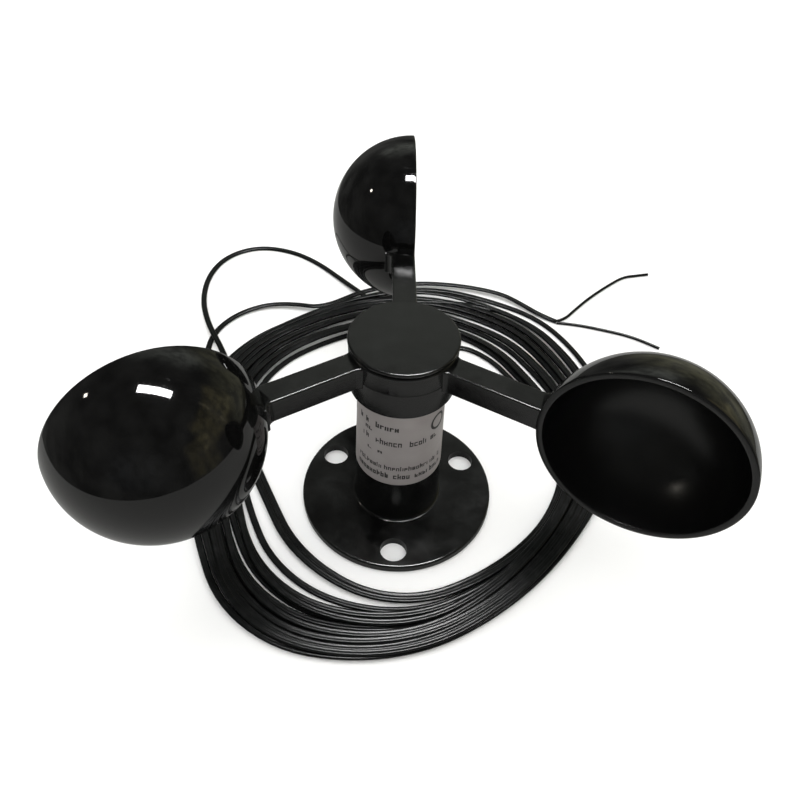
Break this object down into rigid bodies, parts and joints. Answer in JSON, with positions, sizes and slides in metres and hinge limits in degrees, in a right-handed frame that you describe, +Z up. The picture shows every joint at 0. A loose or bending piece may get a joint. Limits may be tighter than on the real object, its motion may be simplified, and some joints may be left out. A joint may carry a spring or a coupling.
{
  "type": "cup anemometer",
  "caption": "Cup wind sensor: hemispherical cups on square arms turn on a labelled, flanged post, with a loosely coiled lead whose end splits into bare wires.",
  "frame": {"origin": "centre of the flange's underside, on the rotor axis", "axes": "+Z up along the rotor axis, +Y the way the lead leaves the post, -Y through one bolt hole"},
  "size_m": [0.2048, 0.2039, 0.0921],
  "materials": {
    "black_plastic": "glossy moulded black plastic",
    "carrier_plastic": "natural nylon",
    "soft_rubber": "soft matt black rubber",
    "lead_sheath": "black flexible sheath with a soft shine",
    "label_foil": "silver-grey film with dark print",
    "steel": "turned and ground steel",
    "magnet": "nickel-plated magnet",
    "board_green": "green lacquered circuit board",
    "chip_black": "moulded component bodies",
    "terminal_blue": "blue terminal block"
  },
  "bodies": {
    "base": {"base_post": "black_plastic", "bottom_cover": "black_plastic", "cover_screws": "steel", "cover_gasket": "soft_rubber", "lead_grommet": "soft_rubber", "pickup_board": "board_green", "board_screws": "steel", "hall_sensor": "chip_black", "board_chips": "chip_black", "lead_terminal": "terminal_blue", "inner_leads": "lead_sheath", "clamped_lead": "lead_sheath", "lower_bearing_outer_race": "steel", "upper_bearing_outer_race": "steel", "outer_spacer": "steel", "bearing_retainer": "steel", "post_label": "label_foil", "lead_run": "lead_sheath", "lead_big_loop": "lead_sheath", "lead_small_loop": "lead_sheath", "lead_tail": "lead_sheath", "core_upper": "lead_sheath", "core_lower": "lead_sheath", "lead_coil": "lead_sheath"},
    "rotor": {"hub": "black_plastic", "hub_cap": "black_plastic", "arm_1": "black_plastic", "arm_2": "black_plastic", "arm_3": "black_plastic", "cup_1": "black_plastic", "cup_2": "black_plastic", "cup_3": "black_plastic", "shaft": "steel", "lower_bearing_inner_race": "steel", "upper_bearing_inner_race": "steel", "inner_spacer": "steel", "hub_spacer": "steel", "shaft_clip": "steel", "magnet_carrier": "carrier_plastic", "magnets": "magnet", "hub_washer": "steel", "hub_nut": "steel"},
    "bearing_balls": {"lower_bearing_balls": "steel", "lower_bearing_cage": "carrier_plastic", "upper_bearing_balls": "steel", "upper_bearing_cage": "carrier_plastic"}
  },
  "joints": [
    {"name": "rotor_spin", "type": "hinge", "parent": "base", "child": "rotor", "pos_m": [0, 0, 0.06], "axis": [0, 0, 1], "continuous": true},
    {"name": "balls_roll", "type": "hinge", "parent": "base", "child": "bearing_balls", "pos_m": [0, 0, 0.045], "axis": [0, 0, 1], "continuous": true}
  ],
  "couplings": [
    {"joint": "balls_roll", "follows": "rotor_spin", "ratio": 0.411}
  ]
}
